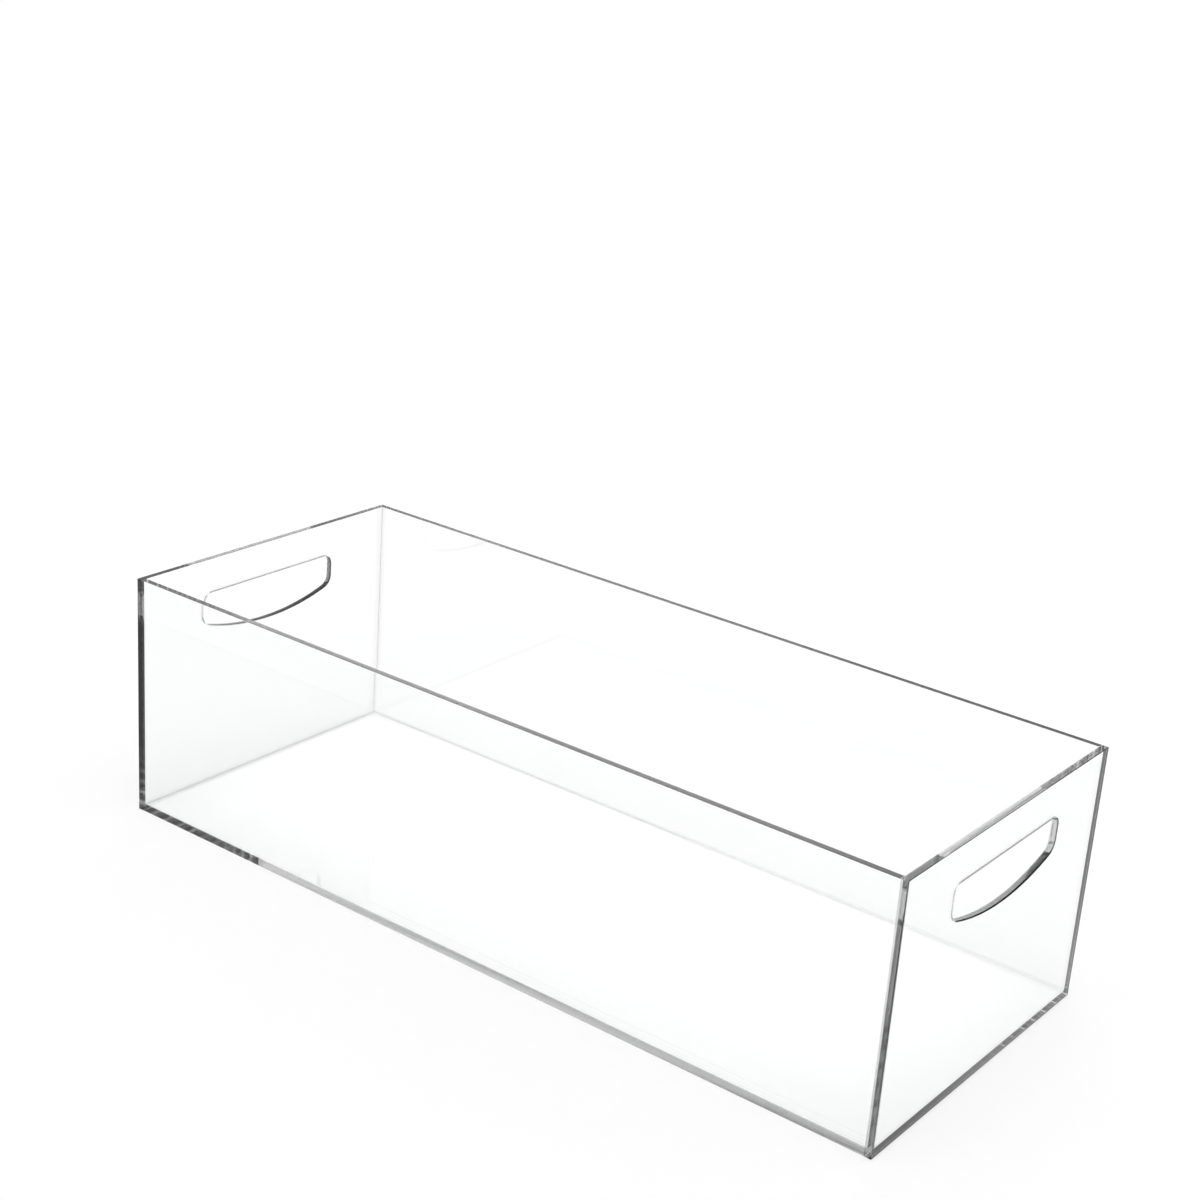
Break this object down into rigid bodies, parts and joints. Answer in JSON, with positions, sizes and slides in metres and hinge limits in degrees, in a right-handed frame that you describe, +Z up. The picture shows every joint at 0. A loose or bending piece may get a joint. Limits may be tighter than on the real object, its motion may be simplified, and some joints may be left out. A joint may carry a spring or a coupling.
{
  "type": "acrylic storage case",
  "caption": "Long open-top storage case of clear acrylic panels cemented edge to face, with a hand slot in each end for lifting it.",
  "frame": {"origin": "middle of the footprint, on the surface the case stands on", "axes": "+X along the length towards the right end, +Y across the width towards the back wall, +Z up"},
  "size_m": [0.4, 0.16, 0.115],
  "materials": {
    "clear_acrylic": "clear cast acrylic sheet, glossy faces, laser-cut edges",
    "cured_cement": "clear solvent cement, cured, faintly hazy"
  },
  "bodies": {
    "root": {"base_panel": "clear_acrylic", "front_panel": "clear_acrylic", "back_panel": "clear_acrylic", "left_end_panel": "clear_acrylic", "right_end_panel": "clear_acrylic", "front_base_seam": "cured_cement", "back_base_seam": "cured_cement", "left_base_seam": "cured_cement", "right_base_seam": "cured_cement", "front_left_corner_seam": "cured_cement", "front_right_corner_seam": "cured_cement", "back_left_corner_seam": "cured_cement", "back_right_corner_seam": "cured_cement"}
  },
  "joints": []
}
